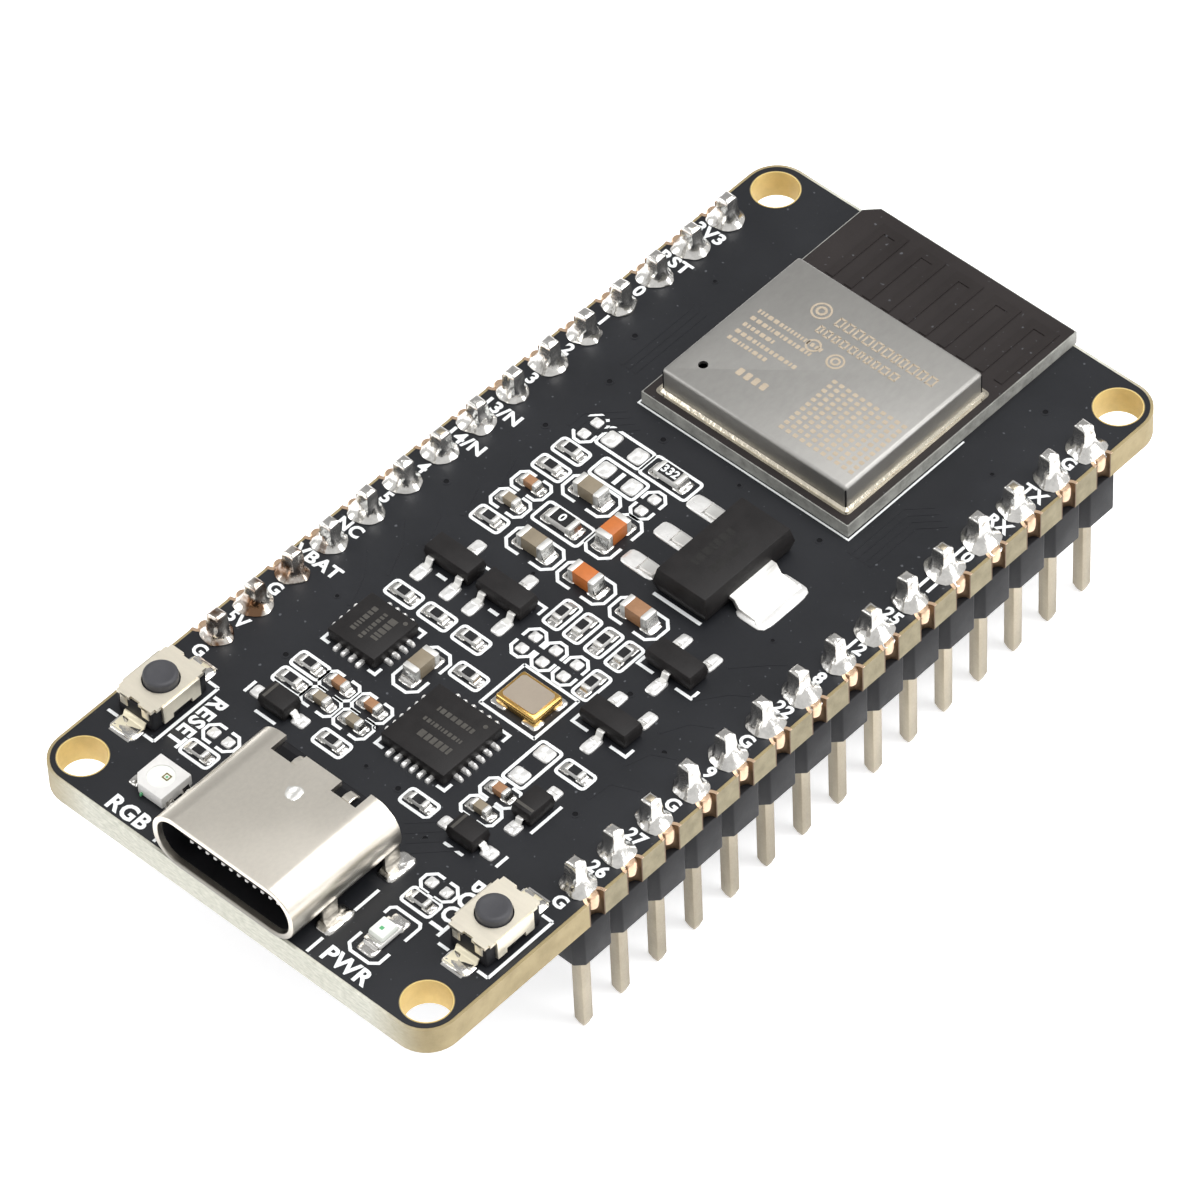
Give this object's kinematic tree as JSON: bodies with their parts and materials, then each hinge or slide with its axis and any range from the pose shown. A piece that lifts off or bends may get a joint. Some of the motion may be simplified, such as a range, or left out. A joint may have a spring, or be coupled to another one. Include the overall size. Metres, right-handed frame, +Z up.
{
  "type": "microcontroller development board",
  "caption": "Black microcontroller board with a shielded radio module, USB-C socket, two push buttons and a pin header strip along each long side.",
  "frame": {"origin": "under the middle of the board, level with the pin tips that it stands on", "axes": "+Z up out of the component side, +Y along the board to the radio module's end, +X to the boot button's side, and the USB mouth faces -Y"},
  "size_m": [0.0254, 0.0518, 0.0134],
  "materials": {
    "black_board": "satin black solder mask over glass-fibre laminate with tan cut edges",
    "black_plastic": "matt black moulded plastic",
    "pin_gold": "gold-flashed square brass wire",
    "shield_steel": "matt nickel-silver sheet with etched marks",
    "socket_steel": "nickel-plated drawn steel",
    "chip_black": "matt black moulding compound",
    "crystal_lid": "gold-plated rim and pale lid",
    "button_cover": "tin-plated thin sheet",
    "button_grey": "dark grey moulded plastic",
    "spring_steel": "bright spring sheet",
    "led_white": "white housing with a clear to milky lens"
  },
  "bodies": {
    "board": {"circuit_board": "black_board", "module_board": "black_board", "left_header_housing": "black_plastic", "right_header_housing": "black_plastic", "usb_tongue": "black_plastic", "reset_button_base": "black_plastic", "boot_button_base": "black_plastic", "left_pin_01": "pin_gold", "left_pin_02": "pin_gold", "left_pin_03": "pin_gold", "left_pin_04": "pin_gold", "left_pin_05": "pin_gold", "left_pin_06": "pin_gold", "left_pin_07": "pin_gold", "left_pin_08": "pin_gold", "left_pin_09": "pin_gold", "left_pin_10": "pin_gold", "left_pin_11": "pin_gold", "left_pin_12": "pin_gold", "left_pin_13": "pin_gold", "left_pin_14": "pin_gold", "left_pin_15": "pin_gold", "right_pin_01": "pin_gold", "right_pin_02": "pin_gold", "right_pin_03": "pin_gold", "right_pin_04": "pin_gold", "right_pin_05": "pin_gold", "right_pin_06": "pin_gold", "right_pin_07": "pin_gold", "right_pin_08": "pin_gold", "right_pin_09": "pin_gold", "right_pin_10": "pin_gold", "right_pin_11": "pin_gold", "right_pin_12": "pin_gold", "right_pin_13": "pin_gold", "right_pin_14": "pin_gold", "right_pin_15": "pin_gold", "shield_can": "shield_steel", "usb_shell": "socket_steel", "radio_chip": "chip_black", "voltage_regulator": "chip_black", "usb_serial_chip": "chip_black", "usb_hub_chip": "chip_black", "transistor_a": "chip_black", "transistor_b": "chip_black", "transistor_c": "chip_black", "transistor_d": "chip_black", "diode_a": "chip_black", "diode_b": "chip_black", "diode_c": "chip_black", "radio_crystal": "crystal_lid", "hub_crystal": "crystal_lid", "reset_button_cover": "button_cover", "boot_button_cover": "button_cover", "reset_button_dome": "spring_steel", "boot_button_dome": "spring_steel", "rgb_led": "led_white", "power_led": "led_white"},
    "reset_plunger": {"reset_button_plunger": "button_grey"},
    "boot_plunger": {"boot_button_plunger": "button_grey"}
  },
  "joints": [
    {"name": "reset_press", "type": "slide", "parent": "board", "child": "reset_plunger", "axis": [0, 0, -1], "range_m": [0, 0.00025], "stiffness_N_per_m": 300, "deforming": ["reset_button_dome"]},
    {"name": "boot_press", "type": "slide", "parent": "board", "child": "boot_plunger", "axis": [0, 0, -1], "range_m": [0, 0.00025], "stiffness_N_per_m": 300, "deforming": ["boot_button_dome"]}
  ]
}
